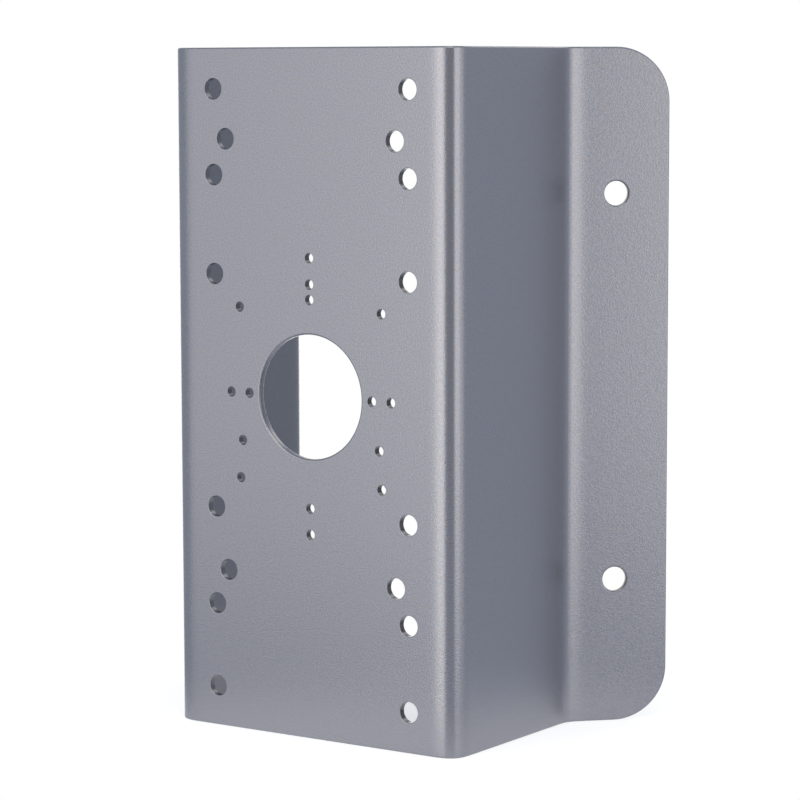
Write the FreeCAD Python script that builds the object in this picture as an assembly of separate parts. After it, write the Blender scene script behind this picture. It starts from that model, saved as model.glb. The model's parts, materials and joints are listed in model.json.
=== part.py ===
import FreeCAD, Part
import math
import os

# Corner bracket for a camera: one sheet of steel, folded four times and powder coated.
# A drilled front plate carries the camera. On each side it folds back into a wall, and the
# wall folds outward into a wing. The wings lie against the two faces of a building's corner.
#
# Frame, in mm: the origin is the centre of the cable hole, on the front face of the plate.
# X runs along the plate, Y runs back towards the building, and Z runs up.

# Sheet
SHEET = 2.7                    # steel sheet with its coat of powder on both sides
HEIGHT = 250.0                 # along every fold
EDGE_BREAK = 0.4               # bevel left where the cut edges and large holes were deburred

# Section, measured on the front side of the sheet
PLATE_WIDTH = 125.6            # over the outsides of the two walls
PLATE_FOLD = 90.0              # degrees that each wall turns back from the plate
PLATE_FOLD_INSIDE = 5.0        # radius on the hollow side of that fold
WALL_DEPTH = 75.7              # plate's front face to where wall and wing would meet if unrounded
WING_FOLD = 45.0               # degrees that each wing turns out again
WING_FOLD_INSIDE = 11.0        # radius on the hollow side of that fold, which is outside the walls
WING_LENGTH = 37.7             # from that same meeting line to the wing's tip
WING_CORNER = 20.0             # radius of the two corners at the wing's tip

# Holes in the plate
CABLE_HOLE = 45.0              # diameter
SCREW_HOLE = 7.5               # diameter of the large holes, for through screws
PILOT_HOLE = 3.6               # diameter of the small holes, for self-cutting screws
PILOT_BREAK = 0.2              # the same bevel on a small hole
SCREW_COLUMN = 85.5            # across, between the outer columns of large holes
SCREW_ROWS = (220.2, 158.1, 85.9)   # height of each rectangle of large holes
INNER_COLUMN = 74.7            # across, between the inner columns of large holes
INNER_ROW = 158.2              # height of that rectangle
INNER_RAISE = 13.0             # its centre above the cable hole
PILOT_TALL_PAIRS = (100.0, 81.0)    # spacing of small holes above and below the cable hole
PILOT_WIDE_PAIRS = (70.8, 54.3)     # spacing of small holes on either side of it
PILOT_TRIO = 70.0              # diameter of the circle of three small holes
PILOT_SQUARE = 62.6            # side of the square of four small holes

# Holes in the wings
ANCHOR_HOLE = 9.0              # diameter
ANCHOR_FROM_TIP = 20.0
ANCHOR_SPACING = 143.2         # up and down, between the two holes of a wing

# Worked out from the above
PLATE_FOLD_OUTSIDE = PLATE_FOLD_INSIDE + SHEET
PLATE_SETBACK = PLATE_FOLD_OUTSIDE * math.tan(math.radians(PLATE_FOLD / 2))
WING_SETBACK = WING_FOLD_INSIDE * math.tan(math.radians(WING_FOLD / 2))
PLATE_FLAT = PLATE_WIDTH / 2 - PLATE_SETBACK
WALL_FLAT = WALL_DEPTH - PLATE_SETBACK - WING_SETBACK
WING_FLAT = WING_LENGTH - WING_SETBACK
TOOL_PAST = 5.0                # how far a drill passes each face of the sheet
SAME = 1e-4                    # lengths closer than this count as equal


def unit(degrees):
    """Direction in the plan at an angle from +X, turning towards +Y."""
    turn = math.radians(degrees)
    return FreeCAD.Vector(math.cos(turn), math.sin(turn), 0)


def straight(start, heading, length):
    """A flat stretch of the section: its edge and the point where it ends."""
    end = start + unit(heading) * length
    return Part.LineSegment(start, end).toShape(), end


def fold(start, heading, turn, radius):
    """A fold of the section: an arc that leaves START along HEADING and turns by TURN degrees."""
    side = 90.0 if turn > 0 else -90.0
    centre = start + unit(heading + side) * radius
    middle = centre + unit(heading + turn / 2 - side) * radius
    end = centre + unit(heading + turn - side) * radius
    return Part.Arc(start, middle, end).toShape(), end


def half_section(depth):
    """Edges of one surface of the sheet, DEPTH behind its front, from the plate to the wing's tip.

    The plate's fold closes on the back of the sheet and the wing's fold closes on its front, so
    going deeper into the sheet makes the first arc smaller and the second one larger.
    """
    here = FreeCAD.Vector(PLATE_FLAT, depth, 0)
    first = here
    heading = 0.0
    edges = []
    edge, here = fold(here, heading, PLATE_FOLD, PLATE_FOLD_OUTSIDE - depth)
    edges.append(edge)
    heading += PLATE_FOLD
    edge, here = straight(here, heading, WALL_FLAT)
    edges.append(edge)
    edge, here = fold(here, heading, -WING_FOLD, WING_FOLD_INSIDE + depth)
    edges.append(edge)
    heading -= WING_FOLD
    edge, here = straight(here, heading, WING_FLAT)
    edges.append(edge)
    return edges, first, here


def mirrored(shape):
    """The same shape on the other side of the bracket."""
    return shape.mirror(FreeCAD.Vector(0, 0, 0), FreeCAD.Vector(1, 0, 0))


def section_face():
    """The whole section of the folded sheet, closed at both tips."""
    edges = []
    tips = []
    for depth in (0.0, SHEET):
        half, first, tip = half_section(depth)
        across = Part.LineSegment(FreeCAD.Vector(-first.x, depth, 0), first).toShape()
        edges += [across] + half + [mirrored(edge) for edge in half]
        tips.append(tip)
    end = Part.LineSegment(tips[0], tips[1]).toShape()
    edges += [end, mirrored(end)]
    return Part.Face(Part.Wire(Part.__sortEdges__(edges)))


def wing_placement():
    """Puts a flat pattern on the right wing: X from the plate's side to the tip, Z out of its face.

    The pattern's origin is the wing's tip at the bracket's middle height, on the front surface.
    """
    tip = half_section(0.0)[2]
    along = unit(PLATE_FOLD - WING_FOLD)
    up = FreeCAD.Vector(0, 0, 1)
    out = along.cross(up)
    return FreeCAD.Placement(tip, FreeCAD.Rotation(along, up, out, "XYZ"))


def plate_placement():
    """Puts a flat pattern on the plate: X across, Y up, Z out of the front face."""
    return FreeCAD.Placement(FreeCAD.Vector(0, 0, 0), FreeCAD.Rotation(FreeCAD.Vector(1, 0, 0), 90))


def drill(x, y, diameter, placement):
    """A round tool through the sheet at a point of a flat pattern."""
    foot = FreeCAD.Vector(x, y, -SHEET - TOOL_PAST)
    tool = Part.makeCylinder(diameter / 2, SHEET + 2 * TOOL_PAST, foot)
    tool.Placement = placement * tool.Placement
    return tool


def rectangle(width, height, raise_by=0.0):
    """Corner points of an upright rectangle of holes about the cable hole, or raised above it."""
    return [(x, z + raise_by) for x in (-width / 2, width / 2) for z in (-height / 2, height / 2)]


def circle(diameter, count):
    """Points evenly spaced on a circle about the cable hole, the first one straight above it."""
    step = 2 * math.pi / count
    reach = diameter / 2
    return [(reach * math.sin(i * step), reach * math.cos(i * step)) for i in range(count)]


def screw_points():
    """Centres of the large holes: three rectangles on the outer columns, one on the inner."""
    points = []
    for row in SCREW_ROWS:
        points += rectangle(SCREW_COLUMN, row)
    return points + rectangle(INNER_COLUMN, INNER_ROW, INNER_RAISE)


def pilot_points():
    """Centres of the small holes: pairs, a trio and a square, for dome and turret bases."""
    points = []
    for spacing in PILOT_TALL_PAIRS:
        points += [(0, -spacing / 2), (0, spacing / 2)]
    for spacing in PILOT_WIDE_PAIRS:
        points += [(-spacing / 2, 0), (spacing / 2, 0)]
    return points + circle(PILOT_TRIO, 3) + rectangle(PILOT_SQUARE, PILOT_SQUARE)


def plate_drills():
    """Tools for every hole of the plate."""
    place = plate_placement()
    tools = [drill(0, 0, CABLE_HOLE, place)]
    tools += [drill(x, z, SCREW_HOLE, place) for x, z in screw_points()]
    tools += [drill(x, z, PILOT_HOLE, place) for x, z in pilot_points()]
    return tools


def wing_drills():
    """Tools for the anchor holes of both wings."""
    place = wing_placement()
    right = []
    for height in (-ANCHOR_SPACING / 2, ANCHOR_SPACING / 2):
        right.append(drill(-ANCHOR_FROM_TIP, height, ANCHOR_HOLE, place))
    return right + [mirrored(tool) for tool in right]


def spans_height(edge):
    """True for the full-height lines where a flat runs into a fold."""
    return edge.BoundBox.ZLength > HEIGHT - SAME


def crosses_sheet(edge):
    """True for the short straight lines from the front of the sheet to its back."""
    return abs(edge.Length - SHEET) < SAME and edge.BoundBox.ZLength < SAME


def folded_sheet():
    """The sheet cut to its outline and folded: round tip corners, bevelled edges, no holes yet."""
    blank = section_face().extrude(FreeCAD.Vector(0, 0, HEIGHT))
    blank.translate(FreeCAD.Vector(0, 0, -HEIGHT / 2))
    tip_reach = blank.BoundBox.XMax - SHEET
    corners = [e for e in blank.Edges if crosses_sheet(e) and abs(e.CenterOfMass.x) > tip_reach]
    blank = blank.makeFillet(WING_CORNER, corners)
    outline = [e for e in blank.Edges if not spans_height(e) and not crosses_sheet(e)]
    return blank.makeChamfer(EDGE_BREAK, outline)


def deburr_rims(shape, diameter, bevel):
    """Bevels both rims of every hole of one diameter."""
    rims = []
    for edge in shape.Edges:
        if edge.isClosed() and abs(edge.Length - math.pi * diameter) < SAME:
            rims.append(edge)
    return shape.makeChamfer(bevel, rims)


def corner_bracket():
    """The finished bracket, one solid."""
    bracket = folded_sheet().cut(Part.makeCompound(plate_drills() + wing_drills()))
    for diameter, bevel in (
        (CABLE_HOLE, EDGE_BREAK),
        (SCREW_HOLE, EDGE_BREAK),
        (PILOT_HOLE, PILOT_BREAK),
        (ANCHOR_HOLE, EDGE_BREAK),
    ):
        bracket = deburr_rims(bracket, diameter, bevel)
    return bracket


os.makedirs("parts", exist_ok=True)
bracket = corner_bracket()
bracket.exportStep("parts/corner_bracket.step")
box = bracket.optimalBoundingBox()
print("valid", bracket.isValid(), "solids", len(bracket.Solids), "faces", len(bracket.Faces))
print("size %.2f x %.2f x %.2f mm" % (box.XLength, box.YLength, box.ZLength))
print("volume %.1f cm3" % (bracket.Volume / 1000))
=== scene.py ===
# %% [markdown]
# # A folded steel corner bracket, dressed and photographed
#
# The object is one piece of steel sheet. It is cut out with all its holes and deburred. A press
# brake then folds it four times: back, out, and the same again on the other side. Last comes a
# silver-grey powder coat.
# The engineering model of it is already packed. This lesson gives it the surface that a camera
# sees: soft folds, edges that the coat has rounded, and the satin grain of the powder.

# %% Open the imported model
import json
import math

import bpy
import numpy as np
from mathutils import Matrix, Vector
from mathutils.geometry import delaunay_2d_cdt


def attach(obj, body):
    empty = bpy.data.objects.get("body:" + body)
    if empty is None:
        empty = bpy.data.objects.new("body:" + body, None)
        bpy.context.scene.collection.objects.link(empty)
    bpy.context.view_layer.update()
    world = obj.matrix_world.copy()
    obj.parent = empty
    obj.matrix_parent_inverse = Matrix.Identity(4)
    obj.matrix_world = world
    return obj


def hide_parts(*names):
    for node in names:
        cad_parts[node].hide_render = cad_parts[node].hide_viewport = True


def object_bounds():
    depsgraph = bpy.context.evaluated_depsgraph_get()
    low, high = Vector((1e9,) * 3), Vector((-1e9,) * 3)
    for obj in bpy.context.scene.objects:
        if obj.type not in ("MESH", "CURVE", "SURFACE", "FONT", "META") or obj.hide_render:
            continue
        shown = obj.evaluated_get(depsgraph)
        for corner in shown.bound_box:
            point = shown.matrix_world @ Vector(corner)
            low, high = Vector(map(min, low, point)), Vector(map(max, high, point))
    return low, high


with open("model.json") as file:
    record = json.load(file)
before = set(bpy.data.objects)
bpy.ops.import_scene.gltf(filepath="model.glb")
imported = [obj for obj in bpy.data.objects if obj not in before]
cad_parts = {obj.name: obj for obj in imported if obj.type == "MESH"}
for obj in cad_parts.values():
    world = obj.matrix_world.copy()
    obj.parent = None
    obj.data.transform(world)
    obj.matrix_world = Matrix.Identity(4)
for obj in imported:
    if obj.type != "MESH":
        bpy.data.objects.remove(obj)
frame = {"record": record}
solid_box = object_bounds()
record = frame["record"]
MM = 1000  # millimetres in a metre
print("the solid's box in mm:", [[round(MM * c, 2) for c in corner] for corner in solid_box])

# %% [markdown]
# ## The sizes that drive the sheet
#
# A sheet-metal worker reads a bracket as a flat blank, a list of folds and a list of holes.
# Every size below is one that this worker would be given. The rest follows from them, so that
# changing the thickness or a fold moves everything that depends on it.

# %% Driving dimensions, in metres
SHEET = 0.0027  # steel and its coat
HEIGHT = 0.250  # along every fold
PLATE_WIDTH = 0.1256  # over the outsides of the two walls
WALL_DEPTH = 0.0757  # front face to where wall and wing would meet if unrounded
WING_LENGTH = 0.0377  # from that line to the wing's tip
PLATE_FOLD = math.radians(90)
WING_FOLD = math.radians(45)
WING_CORNER = 0.020
ANCHOR_FROM_TIP = 0.020
print("a sheet", round(MM * SHEET, 2), "mm thick and", round(MM * HEIGHT, 2), "mm high")

# %% [markdown]
# ## How a fold really turns
#
# A drawing shows a fold as a flat, then an arc, then a flat. Real sheet doesn't start to turn
# that suddenly. The punch presses between the two edges of a die, so the sheet bends most under
# the punch and ever less towards the die's edges. A shiny coat shows this: the glow beside the
# fold fades in and its middle is tight. An arc would be simpler, but it looks like a pipe let
# into two boards. Here the curvature peaks in the fold's middle and falls off as a cube.

# %% Reach of each fold on either side of its middle, measured along the sheet
PLATE_FOLD_REACH = 0.0120
WING_FOLD_REACH = 0.0110
FALL_OFF = 3  # power by which the curvature falls towards the reach


def bend(s, reach, turn):
    """Curvature at a distance S from a fold's middle.

    It is the peak times (1 - |s|/reach)^power. The area under that is the peak times
    2*reach/(power + 1), and has to be TURN, which gives the peak.
    """
    peak = turn * (FALL_OFF + 1) / (2 * reach)
    return peak * np.clip(1 - np.abs(s) / reach, 0, 1) ** FALL_OFF


for fold_name, fold_reach, fold_turn in (
    ("plate fold", PLATE_FOLD_REACH, PLATE_FOLD),
    ("wing fold", WING_FOLD_REACH, WING_FOLD),
):
    tightest = 1 / bend(0, fold_reach, fold_turn)
    print(fold_name, "has its tightest radius, mid-sheet, in mm:", round(MM * tightest, 2))

# %% [markdown]
# ## The section as a curve with a running sum
#
# Walking along the middle of the sheet from the plate's centre to the wing's tip, the heading is
# the running sum of the curvature, and the place is the running sum of the heading's direction.
# numpy's cumsum does both over a fine table of stations. The flats between the folds are then
# as long as they must be for the plate, wall and wing to lie where the solid has them.

# %% Curvature, heading and place along the middle of the sheet
STATION = 0.00002  # spacing of the table


def walk(curvature):
    """Headings and places from curvatures: running sums, each step taken at its middle."""
    heading = np.concatenate([[0], np.cumsum((curvature[1:] + curvature[:-1]) / 2) * STATION])
    middle = (heading[1:] + heading[:-1]) / 2
    x = np.concatenate([[0], np.cumsum(np.cos(middle)) * STATION])
    y = np.concatenate([[0], np.cumsum(np.sin(middle)) * STATION])
    return heading, x, y


def carry(reach, turn):
    """How far one whole fold carries the walk along each of the two flats that it joins.

    The step across the fold lies along its bisector, so each flat's share is half the step's
    length over cos(turn/2).
    """
    x, y = walk(bend(np.arange(-reach, reach + STATION, STATION), reach, turn))[1:]
    return math.hypot(x[-1], y[-1]) / 2 / math.cos(turn / 2)


mid = SHEET / 2
plate_corner = PLATE_WIDTH / 2 - mid * math.tan(PLATE_FOLD / 2)
wall_corner = WALL_DEPTH - mid * math.tan(PLATE_FOLD / 2) + mid * math.tan(WING_FOLD / 2)
wing_corner = WING_LENGTH + mid * math.tan(WING_FOLD / 2)
plate_carry = carry(PLATE_FOLD_REACH, PLATE_FOLD)
wing_carry = carry(WING_FOLD_REACH, WING_FOLD)
plate_fold_at = plate_corner - plate_carry + PLATE_FOLD_REACH
wall_flat = wall_corner - plate_carry - wing_carry
wing_fold_at = plate_fold_at + PLATE_FOLD_REACH + wall_flat + WING_FOLD_REACH
tip = wing_fold_at + WING_FOLD_REACH + wing_corner - wing_carry

along = np.arange(0, tip + STATION, STATION)
heading_table, x_table, y_table = walk(
    bend(along - plate_fold_at, PLATE_FOLD_REACH, PLATE_FOLD)
    - bend(along - wing_fold_at, WING_FOLD_REACH, WING_FOLD)
)
y_table += mid
print("width of the flat blank in mm:", round(2 * MM * tip, 2))
print("heading at the tip in degrees:", round(math.degrees(heading_table[-1]), 3))

# %% [markdown]
# ## From flat pattern to folded sheet
#
# The whole piece is described on the flat blank: across it, up it, and how deep into the sheet.
# One function then folds any number of such points at once. The left half mirrors the right one,
# so a minus sign across the blank becomes a minus sign on X.


# %% Folding points and directions
def fold_points(across, up, depth):
    """Places of blank points: the middle line's place, pushed along the front normal.

    place = middle(|across|) + normal * (SHEET/2 - depth), with X mirrored left of the centre.
    The normal is the heading turned a quarter to the right: (sin heading, -cos heading).
    """
    side = np.where(across < 0, -1.0, 1.0)
    s = np.abs(across)
    heading = np.interp(s, along, heading_table)
    push = SHEET / 2 - depth
    x = np.interp(s, along, x_table) + push * np.sin(heading)
    y = np.interp(s, along, y_table) - push * np.cos(heading)
    return np.stack([side * x, y, up], axis=-1)


def fold_directions(across, right, upward, outward):
    """Directions given on the blank as parts to the right, upward and out of the front face."""
    side = np.where(across < 0, -1.0, 1.0)
    heading = np.interp(np.abs(across), along, heading_table)
    x = right * np.cos(heading) + outward * side * np.sin(heading)
    y = right * side * np.sin(heading) - outward * np.cos(heading)
    return np.stack([x, y, upward], axis=-1)


tip_place = fold_points(np.array([tip]), np.array([0.0]), np.array([mid]))[0]
print("a wing ends, mid-sheet, at this place in mm:", (MM * tip_place).round(2).tolist())

# %% [markdown]
# ## The holes, read from the record
#
# The record lists what a fitter fastens to: a cable hole, rectangles of large holes for screws,
# small pilot holes in pairs, in a square and in a circle of three, and two anchor holes in each
# wing. A rectangle is a centre and two spacings. Reading them here keeps the dressed part and the
# solid the same.


# %% Holes of the plate and of the wings
def rectangle(mount):
    """Corners of a bolt pattern on the plate, across and up, from its centre and spacings."""
    half_x = mount["dims"].get("spacing_x_mm", 0) / (2 * MM)
    half_z = mount["dims"].get("spacing_y_mm", 0) / (2 * MM)
    corners = {(sx * half_x, sz * half_z) for sx in (-1, 1) for sz in (-1, 1)}
    return [(mount["pos_m"][0] + x, mount["pos_m"][2] + z) for x, z in sorted(corners)]


def holes_from_record():
    """Every hole as (across, up, radius) on the blank.

    A single hole behind the plate is in a wing, where its place is counted from the wing's tip.
    """
    found = []
    for mount in record["mounts"]:
        if mount["kind"] == "bolt_pattern":
            radius = mount["dims"]["hole_r_mm"] / MM
            found += [(x, z, radius) for x, z in rectangle(mount)]
        elif mount["kind"] == "bore":
            x, y, z = mount["pos_m"]
            if y > SHEET:
                x = math.copysign(tip - ANCHOR_FROM_TIP, x)
            found.append((x, z, mount["dims"]["r_mm"] / MM))
    return found


holes = holes_from_record()
anchors = [m for m in record["mounts"] if m["kind"] == "bore" and m["pos_m"][1] > SHEET]
placed = fold_points(np.array([tip - ANCHOR_FROM_TIP]), np.array([0.0]), np.array([mid]))[0]
off = max(math.hypot(abs(m["pos_m"][0]) - placed[0], m["pos_m"][1] - placed[1]) for m in anchors)
print(len(holes), "holes; the anchor holes are within", round(MM * off, 3), "mm of the record")

# %% [markdown]
# ## Cut lines on the blank
#
# Each cut line is a closed loop of points, and each point has the direction that leads off the
# metal. The outline is a rectangle whose corners are quarter circles. It needs many points
# where the sheet folds and few where it is flat, so its points are placed by the folds.

# %% The outline and the hole circles
CORNER_STEPS = 20  # in the quarter circle of a tip corner
FOLD_STEP = 0.0005  # across a fold
HOLE_SORTS = (  # up to this radius: points round it, rounding of its edges, painted shade on its wall
    (0.003, 40, 0.00015, 0.38),  # pilot holes
    (0.004, 64, 0.0003, 0.52),  # screw holes
    (0.010, 80, 0.0006, 0.22),  # anchor holes
    (0.050, 160, 0.0007, 0.80),  # the cable hole
)


def sort_of(radius):
    """The row of HOLE_SORTS that a hole belongs to, without its size."""
    return next(row[1:] for row in HOLE_SORTS if radius < row[0])


def fold_stations():
    """Places across the right half of the blank where the sheet needs a line of points."""
    spans = ((plate_fold_at, PLATE_FOLD_REACH), (wing_fold_at, WING_FOLD_REACH))
    counts = [2 * math.ceil(reach / FOLD_STEP) + 1 for at, reach in spans]
    lines = [np.linspace(at - r, at + r, n) for (at, r), n in zip(spans, counts)]
    return np.concatenate(lines)


def outline_loop():
    """The blank's edge, anticlockwise seen from the front, and the directions off the metal.

    A corner's points are its centre plus the radius times (cos, sin) of an angle, and that
    (cos, sin) is also the direction off the metal. The top edge follows the upper right corner
    and the bottom edge the lower left one, with points on the fold stations.
    """
    right = fold_stations()
    stations = np.concatenate([-right[::-1], right])
    straight_x = tip - WING_CORNER
    straight_z = HEIGHT / 2 - WING_CORNER
    points, away = [], []
    for quarter, (sx, sz) in enumerate(((1, -1), (1, 1), (-1, 1), (-1, -1))):
        angle = np.linspace(0, math.pi / 2, CORNER_STEPS + 1) + (quarter - 1) * math.pi / 2
        ring = np.stack([np.cos(angle), np.sin(angle)], axis=1)
        points.append(np.array([sx * straight_x, sz * straight_z]) + WING_CORNER * ring)
        away.append(ring)
        if quarter in (1, 3):
            run = stations[::-1] if quarter == 1 else stations
            points.append(np.stack([run, np.full(len(run), sz * HEIGHT / 2)], axis=1))
            away.append(np.tile([0.0, float(sz)], (len(run), 1)))
    return np.concatenate(points), np.concatenate(away)


def hole_loop(x, z, radius):
    """A hole's circle, clockwise seen from the front, and the directions to its centre."""
    steps = sort_of(radius)[0]
    angle = -np.arange(steps) * 2 * math.pi / steps
    ring = np.stack([np.cos(angle), np.sin(angle)], axis=1)
    return np.array([x, z]) + radius * ring, -ring


print(len(outline_loop()[0]), "points along the outline")

# %% [markdown]
# ## Edges that the powder has rounded
#
# A laser leaves a sharp corner, deburring takes it off, and the melted powder flows round what is
# left. A small hole is broken less than the sheet's outline, so its rim looks sharper.
# The edge could get a bevel modifier, but on a folded sheet with thirty-six holes that splits
# faces in places that show. Here each cut line carries its own rounding: a strip that starts on
# the front face, turns a quarter, crosses the cut and turns a quarter to the back face.

# %% The strip along a cut line
OUTLINE_ROUND = 0.0007
ROUND_STEPS = 5


def strip_rows(points, away, radius):
    """The strip's rows from front to back: blank places, depths and directions.

    At an angle a of the quarter turn the row is radius*(1 - sin a) back from the cut line and
    radius*(1 - cos a) deep, and it faces cos a out of the front and sin a off the metal. The
    back rows are the same, seen from the back face.
    """
    angle = np.linspace(0, math.pi / 2, ROUND_STEPS + 1)
    angle = np.concatenate([angle, angle[::-1]])
    front = np.arange(len(angle)) <= ROUND_STEPS
    back_off = radius * (1 - np.sin(angle))
    depth = radius * (1 - np.cos(angle))
    depth = np.where(front, depth, SHEET - depth)
    outward = np.where(front, np.cos(angle), -np.cos(angle))
    place = points[None] - back_off[:, None, None] * away[None]
    facing = np.sin(angle)[:, None, None] * away[None]
    ones = np.ones(len(points))
    return place, depth[:, None] * ones, facing, outward[:, None] * ones


def strip_faces(first, rows, count):
    """Quads between neighbouring rows of a closed strip, facing off the metal."""
    row, column = np.meshgrid(np.arange(rows - 1), np.arange(count), indexing="ij")
    following = (column + 1) % count
    here = first + row * count
    below = here + count
    quads = np.stack([here + column, below + column, below + following, here + following], -1)
    return quads.reshape(-1, 4)


print(2 * (ROUND_STEPS + 1), "rows of points from the front of a strip to its back")

# %% [markdown]
# ## Painted shade in the holes and on the back
#
# The walls of the holes and the back of the sheet, which faces the inside of the bracket, are
# painted darker as painted shade. Every point of the mesh carries a number for this, 1 on the
# front, and the coat's colour is multiplied by it. A darker material on chosen faces would be
# simpler, but it would end in a hard line.

# %% The painted shade of each row of a strip
INSIDE_PAINTED_SHADE = 0.71  # painted shade on the sheet's back: its tone as a share of the front's
OUTLINE_PAINTED_SHADE = 1.0  # the same on the cut along the outline, which gets no painted shade


def strip_painted_shade(cut):
    """Painted shade of each row of a strip: 1 on the front, CUT on the wall of the cut.

    From either face the shade changes to the cut's with the square of the share of the turn.
    """
    share = (np.arange(ROUND_STEPS + 1) / ROUND_STEPS) ** 2
    front = 1.0 + (cut - 1.0) * share
    back = INSIDE_PAINTED_SHADE + (cut - INSIDE_PAINTED_SHADE) * share
    return np.concatenate([front, back[::-1]])


# painted shade over the edge of the cable hole, a factor on the coat's colour, row by row
cable_painted_shade = sort_of(max(radius for x, z, radius in holes))[2]
print("painted shade over the edge of the cable hole:", strip_painted_shade(cable_painted_shade).round(2).tolist())

# %% [markdown]
# ## Filling the two faces
#
# Between the strips lie the front and the back face: a long shape with more than thirty holes.
# A Boolean could cut the holes out of a finished sheet, but its faces would come out ragged.
# A constrained Delaunay triangulation takes the loops and the fold lines as edges that it must
# keep, and fills the rest with triangles. It is done once, and both faces use it.


# %% Triangles between the cut lines
SAME = 1e-7  # metres closer than this count as equal
JOIN = 1e-9  # the triangulation makes one of points that are closer than this
MOVED = 1e-6  # a point that ends further off than this has been moved
WITHIN_LOOPS = 1  # the triangulation's number for leaving out what lies outside all loops


def loop_edges(first, count):
    """Edges of a closed loop of points."""
    index = np.arange(count)
    return np.stack([first + index, first + (index + 1) % count], axis=1)


def fold_lines(points):
    """Pairs of outline points that stand over each other on the fold stations."""
    stations = fold_stations()
    stations = np.concatenate([-stations, stations])
    level = np.abs(np.abs(points[:, 1]) - np.abs(points[:, 1]).max()) < SAME
    low = np.flatnonzero(level & (points[:, 1] < 0))
    high = np.flatnonzero(level & (points[:, 1] > 0))
    low_near = low[np.abs(points[low, 0][None] - stations[:, None]).argmin(1)]
    high_near = high[np.abs(points[high, 0][None] - stations[:, None]).argmin(1)]
    return np.stack([low_near, high_near], axis=1)


def face_triangles(loops):
    """Anticlockwise triangles inside the first loop and outside the others.

    A triangle with all three corners on one hole's rim lies inside that round hole, so it goes.
    """
    points = np.concatenate(loops)
    counts = [len(loop) for loop in loops]
    starts = np.concatenate([[0], np.cumsum(counts)[:-1]])
    edges = [loop_edges(first, count) for first, count in zip(starts, counts)]
    edges = np.concatenate(edges + [fold_lines(loops[0])])
    result = delaunay_2d_cdt(points.tolist(), edges.tolist(), [], WITHIN_LOOPS, JOIN)
    made = np.array([tuple(p) for p in result[0]])
    if len(made) != len(points) or np.abs(made - points).max() > MOVED:
        raise ValueError("the triangulation moved or added points")
    triangles = np.array([list(face) for face in result[2]])
    owner = np.repeat(np.arange(len(loops)), counts)[triangles]
    in_hole = (owner[:, 0] > 0) & (owner[:, 0] == owner[:, 1]) & (owner[:, 1] == owner[:, 2])
    triangles = triangles[~in_hole]
    a, b, c = (points[triangles[:, i]] for i in range(3))
    area = (b - a)[:, 0] * (c - a)[:, 1] - (b - a)[:, 1] * (c - a)[:, 0]
    triangles[area < 0] = triangles[area < 0][:, ::-1]
    return triangles


print(len(fold_lines(outline_loop()[0])), "lines of points across the folds")

# %% [markdown]
# ## The sheet itself
#
# All strips and both faces share their points, so the mesh is closed. Every point also knows the
# direction that the real surface faces there, and the mesh keeps these as its normals: flats
# shade dead flat right up to the folds, and the rounded edges shade round with few faces.


# %% Building the bracket
def build_sheet(name):
    """The folded sheet as one closed mesh with its own normals and its painted shade."""
    cuts = [(*outline_loop(), OUTLINE_ROUND, OUTLINE_PAINTED_SHADE)]
    for x, z, radius in holes:
        cuts.append((*hole_loop(x, z, radius), *sort_of(radius)[1:]))
    places, normals, painted_shades, quads = [], [], [], []
    front_rim, back_rim, flat_loops = [], [], []
    first = 0
    for points, away, radius, cut_painted_shade in cuts:
        place, depth, facing, outward = strip_rows(points, away, radius)
        across = place[..., 0]
        places.append(fold_points(across, place[..., 1], depth).reshape(-1, 3))
        turned = fold_directions(across, facing[..., 0], facing[..., 1], outward)
        normals.append(turned.reshape(-1, 3))
        rows, count = across.shape
        # painted shade of this strip's rows, as a factor on the coat's colour
        painted_shades.append(np.repeat(strip_painted_shade(cut_painted_shade), count))
        quads.append(strip_faces(first, rows, count))
        front_rim.append(first + np.arange(count))
        back_rim.append(first + (rows - 1) * count + np.arange(count))
        flat_loops.append(place[0])
        first += rows * count
    triangles = face_triangles(flat_loops)
    front = np.concatenate(front_rim)[triangles]
    back = np.concatenate(back_rim)[triangles[:, ::-1]]
    faces = np.concatenate(quads).tolist() + front.tolist() + back.tolist()
    mesh = bpy.data.meshes.new(name)
    mesh.from_pydata(np.concatenate(places), [], faces)
    mesh.update()
    mesh.shade_smooth()
    mesh.normals_split_custom_set_from_vertices(np.concatenate(normals).tolist())
    # painted shade kept on every point, as a factor on the coat's colour
    painted_shade_attribute = mesh.attributes.new("painted_shade", "FLOAT", "POINT")
    painted_shade_attribute.data.foreach_set("value", np.concatenate(painted_shades))
    return mesh, np.concatenate(normals)


sheet_mesh, sheet_normals = build_sheet("folded_sheet")
sheet = bpy.data.objects.new("folded_sheet", sheet_mesh)
bpy.context.scene.collection.objects.link(sheet)
print(len(sheet_mesh.vertices), "points and", len(sheet_mesh.polygons), "faces")

# %% [markdown]
# ## Checking that the sheet is sound
#
# A closed mesh has two faces on every edge, and a mesh whose faces point outwards has a positive
# volume. The volume should also be close to that of the engineering solid, because the folds and
# edges differ from it by tenths of a millimetre only.


# %% Measuring the mesh
def triangles_of(mesh):
    """The three corners of every triangle: their numbers and their places."""
    mesh.calc_loop_triangles()
    corners = np.zeros(len(mesh.loop_triangles) * 3, np.int32)
    mesh.loop_triangles.foreach_get("vertices", corners)
    corners = corners.reshape(-1, 3)
    places = np.zeros(len(mesh.vertices) * 3)
    mesh.vertices.foreach_get("co", places)
    return corners, np.moveaxis(places.reshape(-1, 3)[corners], 1, 0)


def closed_and_volume(mesh):
    """Open edges, and the volume as the sum over triangles of a . (b x c) / 6."""
    corners, (a, b, c) = triangles_of(mesh)
    volume = np.einsum("ij,ij->i", a, np.cross(b, c)).sum() / 6
    pairs = np.sort(corners[:, [0, 1, 1, 2, 2, 0]].reshape(-1, 2), axis=1)
    used = np.unique(pairs, axis=0, return_counts=True)[1]
    return int((used != 2).sum()), volume


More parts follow.
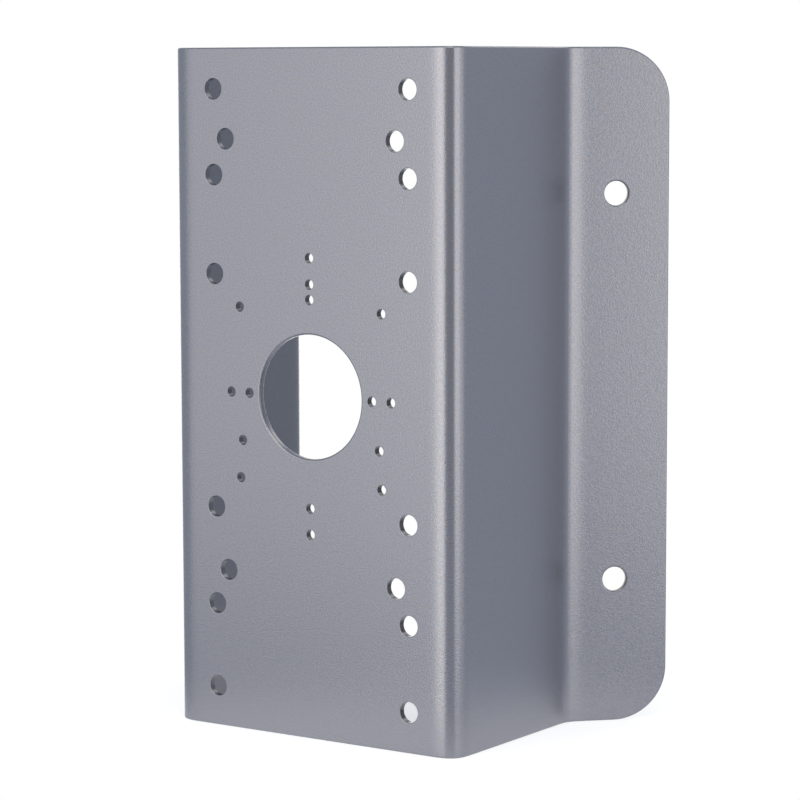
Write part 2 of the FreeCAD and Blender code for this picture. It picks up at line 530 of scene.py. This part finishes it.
def facing_check(mesh, wanted):
    """Smallest agreement between a triangle's own direction and the normals given to its points.

    The agreement is the cosine of the angle between (b - a) x (c - a) and the sum of the three.
    """
    corners, (a, b, c) = triangles_of(mesh)
    own = np.cross(b - a, c - a)
    given = wanted[corners].sum(axis=1)
    lengths = np.linalg.norm(own, axis=1) * np.linalg.norm(given, axis=1)
    return (np.einsum("ij,ij->i", own, given) / lengths).min()


CM = 100  # centimetres in a metre
open_edges, volume = closed_and_volume(sheet_mesh)
agreement = facing_check(sheet_mesh, sheet_normals)
print("open edges:", open_edges, " volume in cm3:", round(volume * CM**3, 2))
print("least agreement of faces with their normals:", round(float(agreement), 3))

# %% [markdown]
# ## Silver-grey powder coat
#
# Powder coat of this kind is a grey resin full of fine metal flakes. It shines like satin metal,
# broadly, and a close look shows grain: each speck of powder melted into a low hump, about half
# a millimetre across, and its flakes lie at slightly different angles. A plain metal shader
# would be too clean, and a grey plastic too dull. So most of the light is reflected as from
# metal, and the roughness stays in the satin range. One fine noise tilts the surface and varies
# its tone, and a coarser one varies its tint. The humps stay low: higher ones would blur the
# bright and dark lines that the folds draw.

# %% The powder coat's nodes
COAT_COLOUR = (0.315, 0.315, 0.345)
COAT_METAL = 0.85
COAT_ROUGHNESS = 0.26
GRAIN_SIZE = 0.00055
GRAIN_DETAIL = 0.5
GRAIN_HEIGHT = 0.000037
GRAIN_TONE = 0.17  # how far a speck's tone goes to either side
MOTTLE_SIZE = 0.0014
MOTTLE_DETAIL = 1.0
MOTTLE_TINT = 0.07  # how far red and blue go to either side
MOTTLE_SEED = 7.0  # sets its pattern apart from the grain's


def noise(nodes, links, source, size, detail, seed=0.0):
    """A noise texture whose specks are about SIZE across, on the object's own coordinates."""
    texture = nodes.new("ShaderNodeTexNoise")
    texture.noise_dimensions = "4D"
    texture.inputs["Scale"].default_value = 1 / size
    texture.inputs["Detail"].default_value = detail
    texture.inputs["W"].default_value = seed
    links.new(source, texture.inputs["Vector"])
    return texture.outputs["Fac"]


def around_one(nodes, links, value, spread):
    """Turns a noise of 0 to 1 into a factor of 1 - spread to 1 + spread."""
    span = nodes.new("ShaderNodeMapRange")
    span.inputs["To Min"].default_value = 1 - spread
    span.inputs["To Max"].default_value = 1 + spread
    links.new(value, span.inputs["Value"])
    return span.outputs["Result"]


def product(nodes, links, first, second):
    """One value times another."""
    times = nodes.new("ShaderNodeMath")
    times.operation = "MULTIPLY"
    links.new(first, times.inputs[0])
    links.new(second, times.inputs[1])
    return times.outputs[0]


def powder_coat():
    """The coat as a Principled shader with grain in its colour and surface, and painted shade."""
    material = bpy.data.materials.new("silver_grey_powder_coat")
    material.use_nodes = True
    nodes, links = material.node_tree.nodes, material.node_tree.links
    shader = nodes["Principled BSDF"]
    shader.inputs["Metallic"].default_value = COAT_METAL
    shader.inputs["Roughness"].default_value = COAT_ROUGHNESS
    place = nodes.new("ShaderNodeTexCoord").outputs["Object"]
    grain = noise(nodes, links, place, GRAIN_SIZE, GRAIN_DETAIL)
    mottle = noise(nodes, links, place, MOTTLE_SIZE, MOTTLE_DETAIL, MOTTLE_SEED)
    # the painted shade of the holes and the back darkens the grain's tone
    painted_shade_attribute = nodes.new("ShaderNodeAttribute")
    painted_shade_attribute.attribute_name = "painted_shade"
    tone = product(nodes, links, around_one(nodes, links, grain, GRAIN_TONE), painted_shade_attribute.outputs["Fac"])
    warm = around_one(nodes, links, mottle, MOTTLE_TINT)
    cool = around_one(nodes, links, mottle, -MOTTLE_TINT)
    tint = nodes.new("ShaderNodeCombineColor")
    links.new(product(nodes, links, tone, warm), tint.inputs["Red"])
    links.new(tone, tint.inputs["Green"])
    links.new(product(nodes, links, tone, cool), tint.inputs["Blue"])
    coat = nodes.new("ShaderNodeMix")
    coat.data_type = "RGBA"
    coat.blend_type = "MULTIPLY"
    coat.inputs["Factor"].default_value = 1.0
    coat.inputs["A"].default_value = (*COAT_COLOUR, 1)
    links.new(tint.outputs["Color"], coat.inputs["B"])
    links.new(coat.outputs["Result"], shader.inputs["Base Color"])
    bump = nodes.new("ShaderNodeBump")
    bump.inputs["Strength"].default_value = 1.0
    bump.inputs["Distance"].default_value = GRAIN_HEIGHT
    links.new(grain, bump.inputs["Height"])
    links.new(bump.outputs["Normal"], shader.inputs["Normal"])
    return material


coat_material = powder_coat()
sheet.data.materials.append(coat_material)
print("coat:", COAT_COLOUR, "metallic", COAT_METAL, "roughness", COAT_ROUGHNESS)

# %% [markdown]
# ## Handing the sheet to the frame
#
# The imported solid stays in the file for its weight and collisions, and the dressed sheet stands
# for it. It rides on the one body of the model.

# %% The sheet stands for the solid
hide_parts("corner_bracket")
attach(sheet, "root")
print(sheet.name, "stands for corner_bracket")

# %% [markdown]
# ## The camera
#
# The photograph was taken from the right and a little above the middle, from about a metre, with
# a long lens. Its place and angles were found by matching holes and edges with their real places.
# A camera looks along its own -Z, with +X to the right and +Y up, so its axes are the columns
# right, up and back.

# %% Camera
CAMERA_PLACE = Vector((0.63126, -0.86302, 0.11819))
CAMERA_TURN = math.radians(34.445)  # to the left of straight ahead
CAMERA_DIP = math.radians(6.367)
CAMERA_ROLL = math.radians(0.148)
SENSOR = 36.0
FOCAL_PIXELS = 2993.8
PICTURE_PIXELS = 800


def camera_axes():
    """Right, up and forward of the camera: turned, dipped, then rolled about forward."""
    turn, dip, roll = CAMERA_TURN, CAMERA_DIP, CAMERA_ROLL
    forward = Vector(
        (-math.sin(turn) * math.cos(dip), math.cos(turn) * math.cos(dip), -math.sin(dip))
    )
    level = Vector((math.cos(turn), math.sin(turn), 0))
    down = forward.cross(level)
    right = math.cos(roll) * level + math.sin(roll) * down
    return right, -(-math.sin(roll) * level + math.cos(roll) * down), forward


right, up, forward = camera_axes()
lens = bpy.data.cameras.new("long_lens")
lens.sensor_width = SENSOR
lens.lens = FOCAL_PIXELS * SENSOR / PICTURE_PIXELS
camera = bpy.data.objects.new("camera", lens)
bpy.context.scene.collection.objects.link(camera)
camera_turned = Matrix((right, up, -forward)).transposed().to_4x4()
camera.matrix_world = Matrix.Translation(CAMERA_PLACE) @ camera_turned
bpy.context.scene.camera = camera
print("focal length in mm:", round(lens.lens, 2))

# %% [markdown]
# ## Soft light from large panels
#
# Satin metal shows what stands round it. A tall panel to the left of the lens gives the plate
# its tone and the fold its bright line, and a panel on the right lights the wing. Beside each
# stands a weaker one, so that the light has no hard end. A panel behind the part keeps its back
# from going dark. Two lights stand higher: the one in front draws a bright line on the lower
# rims of the holes, and the one behind shines into the holes. Every lamp's power is its
# brightness times pi times its area, so brightness is what is chosen.

# %% Lamps
PANEL_DISTANCE = 1.5
LAMP_COLOUR = (1.0, 0.94, 0.84)
PANELS = (  # name, first and last azimuth in degrees, lowest and highest point, brightness
    ("key_panel", -27, 2.5, -0.50, 0.90, 1.66),
    ("key_shoulder", -48, -27, -0.35, 0.90, 0.56),
    ("side_panel", 63, 98, -0.35, 0.55, 1.20),
    ("side_shoulder", 98, 118, -0.35, 0.50, 0.60),
    ("back_panel", 190, 245, -0.60, 0.60, 1.10),
)
HIGH_LIGHTS = (  # name, place, side, brightness
    ("top_light", (0.55, -0.75, 1.15), 0.9, 2.0),
    ("rear_light", (0.15, 1.10, 0.75), 0.6, 1.2),
)


def lamp(name, place, turn, width, height, brightness):
    """A rectangular area lamp, centred at PLACE and turned by the Euler angles TURN."""
    data = bpy.data.lights.new(name, "AREA")
    data.shape = "RECTANGLE"
    data.size = width
    data.size_y = height
    data.energy = brightness * math.pi * width * height
    data.color = LAMP_COLOUR
    made = bpy.data.objects.new(name, data)
    bpy.context.scene.collection.objects.link(made)
    made.location = place
    made.rotation_euler = turn
    made.visible_camera = False


def panel(name, first, last, low, high, brightness):
    """An upright lamp between two azimuths, counted from the front to the right.

    It stands at distance*(sin, -cos) of the middle azimuth, facing the part, from LOW to HIGH
    above the origin, and is 2*distance*tan(half the angle) wide.
    """
    turn = math.radians((first + last) / 2)
    width = 2 * PANEL_DISTANCE * math.tan(math.radians((last - first) / 2))
    x, y = PANEL_DISTANCE * math.sin(turn), -PANEL_DISTANCE * math.cos(turn)
    lamp(name, (x, y, (low + high) / 2), (math.pi / 2, 0, turn), width, high - low, brightness)


def high_light(name, place, side, brightness):
    """A square lamp whose back, +Z, points from the origin to its place, so it faces the part."""
    turn = Vector(place).to_track_quat("Z", "Y").to_euler()
    lamp(name, place, turn, side, side, brightness)


for values in PANELS:
    panel(*values)
for values in HIGH_LIGHTS:
    high_light(*values)
print(len(PANELS) + len(HIGH_LIGHTS), "lamps")

# %% [markdown]
# ## The room, the floor and the backdrop
#
# The room is a plain pale grey, slightly blue. The picture's white comes from the floor and a
# backdrop disc behind the part. Both glow for rays from the camera, for mirror-like bounces and
# through glass, which is what Light Path tells, and the glow lights nothing else. The floor is
# matt paint too, so that it keeps the part's soft shadow. Their edges fade out, so that a
# view from any side shows no hard rim.

# %% Room, floor and backdrop
ROOM_GREY = (0.488, 0.533, 0.617)
FLOOR_LEVEL = -HEIGHT / 2
FLOOR_COLOUR = 0.85
FLOOR_GLOW = 0.5
FLOOR_SOLID, FLOOR_EDGE = 0.02, 0.17  # radii between which it fades out
BACKDROP_COLOUR = 0.0
BACKDROP_GLOW = 1.0
BACKDROP_SOLID, BACKDROP_EDGE = 0.62, 0.85
BACKDROP_BEHIND = 1.75  # how far behind the part's origin, seen from the camera

world = bpy.data.worlds.new("pale_room")
world.use_nodes = True
world.node_tree.nodes["Background"].inputs["Color"].default_value = (*ROOM_GREY, 1)
bpy.context.scene.world = world


def disc_mesh(name, radius, steps=96):
    """A flat disc about its origin, facing +Z: one ring of points and a face."""
    angle = np.arange(steps) * 2 * math.pi / steps
    ring = np.stack([radius * np.cos(angle), radius * np.sin(angle), 0 * angle], axis=1)
    mesh = bpy.data.meshes.new(name)
    mesh.from_pydata(ring, [], [list(range(steps))])
    return mesh


def seen_or_reflected(nodes, links):
    """1 for rays from the camera, from a mirror-like bounce or through glass, else 0."""
    path = nodes.new("ShaderNodeLightPath")
    total = path.outputs["Is Camera Ray"]
    for other in ("Is Glossy Ray", "Is Transmission Ray"):
        larger = nodes.new("ShaderNodeMath")
        larger.operation = "MAXIMUM"
        links.new(total, larger.inputs[0])
        links.new(path.outputs[other], larger.inputs[1])
        total = larger.outputs[0]
    return total


def stage_material(name, colour, glow, solid, edge):
    """Matt paint, with a glow for seen and reflected rays, that fades out between two radii."""
    material = bpy.data.materials.new(name)
    material.use_nodes = True
    nodes, links = material.node_tree.nodes, material.node_tree.links
    nodes.clear()
    paint = nodes.new("ShaderNodeBsdfDiffuse")
    paint.inputs["Color"].default_value = (colour, colour, colour, 1)
    emission = nodes.new("ShaderNodeEmission")
    strength = nodes.new("ShaderNodeMath")
    strength.operation = "MULTIPLY"
    strength.inputs[1].default_value = glow
    links.new(seen_or_reflected(nodes, links), strength.inputs[0])
    links.new(strength.outputs[0], emission.inputs["Strength"])
    both = nodes.new("ShaderNodeAddShader")
    links.new(paint.outputs[0], both.inputs[0])
    links.new(emission.outputs[0], both.inputs[1])
    distance = nodes.new("ShaderNodeVectorMath")
    distance.operation = "LENGTH"
    links.new(nodes.new("ShaderNodeTexCoord").outputs["Object"], distance.inputs[0])
    fade = nodes.new("ShaderNodeMapRange")
    fade.interpolation_type = "SMOOTHSTEP"
    fade.inputs["From Min"].default_value = solid
    fade.inputs["From Max"].default_value = edge
    links.new(distance.outputs["Value"], fade.inputs["Value"])
    mixed = nodes.new("ShaderNodeMixShader")
    clear = nodes.new("ShaderNodeBsdfTransparent")
    links.new(fade.outputs["Result"], mixed.inputs["Fac"])
    links.new(both.outputs[0], mixed.inputs[1])
    links.new(clear.outputs[0], mixed.inputs[2])
    output = nodes.new("ShaderNodeOutputMaterial")
    links.new(mixed.outputs[0], output.inputs["Surface"])
    return material


floor = bpy.data.objects.new("floor", disc_mesh("floor", FLOOR_EDGE))
floor.data.materials.append(
    stage_material("pale_floor", FLOOR_COLOUR, FLOOR_GLOW, FLOOR_SOLID, FLOOR_EDGE)
)
floor.location = (0, solid_box[1][1] / 2, FLOOR_LEVEL)
backdrop = bpy.data.objects.new("backdrop", disc_mesh("backdrop", BACKDROP_EDGE))
backdrop.data.materials.append(
    stage_material(
        "white_backdrop", BACKDROP_COLOUR, BACKDROP_GLOW, BACKDROP_SOLID, BACKDROP_EDGE
    )
)
backdrop_place = CAMERA_PLACE + forward * (CAMERA_PLACE.length + BACKDROP_BEHIND)
backdrop.matrix_world = Matrix.Translation(backdrop_place) @ camera_turned
print("floor at", round(MM * FLOOR_LEVEL, 1), "mm, backdrop", BACKDROP_BEHIND, "m behind the part")

# %% [markdown]
# ## A dark line beside the fold
#
# Right of its bright line, the plate's fold has a dark one. There the coat mirrors what stands
# behind the camera, and that was darker than the room. A sheet of grey paper does the same.
# A dark stripe painted on the fold would stay where it is when the view turns, and a real
# reflection doesn't. Only mirror-like rays see the paper, so it throws no shadow on the part.

# %% A card behind the camera
CARD_AZIMUTH = 31  # degrees from the front to the right
CARD_DISTANCE = 1.45
CARD_WIDTH = 1.3
CARD_LOW, CARD_HIGH = -0.28, 1.3
CARD_GREY = 0.5
CARD_ROUGHNESS = 1.0


def paper_card(name):
    """An upright matt sheet of paper that stands and faces as a panel does.

    Its corners are distance*(sin, -cos) of the azimuth, half the width to either side, low and
    high.
    """
    turn = math.radians(CARD_AZIMUTH)
    middle = np.array([math.sin(turn), -math.cos(turn), 0]) * CARD_DISTANCE
    half = np.array([math.cos(turn), math.sin(turn), 0]) * CARD_WIDTH / 2
    side = np.array([-1, 1, 1, -1])[:, None]
    level = np.array([CARD_LOW, CARD_LOW, CARD_HIGH, CARD_HIGH])[:, None]
    corners = middle + side * half + level * np.array([0, 0, 1])
    mesh = bpy.data.meshes.new(name)
    mesh.from_pydata(corners, [], [[3, 2, 1, 0]])
    material = bpy.data.materials.new("grey_paper")
    material.use_nodes = True
    shader = material.node_tree.nodes["Principled BSDF"]
    shader.inputs["Base Color"].default_value = (CARD_GREY, CARD_GREY, CARD_GREY, 1)
    shader.inputs["Roughness"].default_value = CARD_ROUGHNESS
    mesh.materials.append(material)
    made = bpy.data.objects.new(name, mesh)
    made.visible_camera = False
    made.visible_diffuse = False
    made.visible_shadow = False
    return made


for piece in (floor, backdrop, paper_card("lens_card")):
    bpy.context.scene.collection.objects.link(piece)
print("card", CARD_WIDTH, "m wide,", CARD_DISTANCE, "m from the part")

# %% [markdown]
# ## Colour management
#
# The Standard view shows colours as they are written.

# %% Finish
bpy.context.scene.view_settings.view_transform = "Standard"
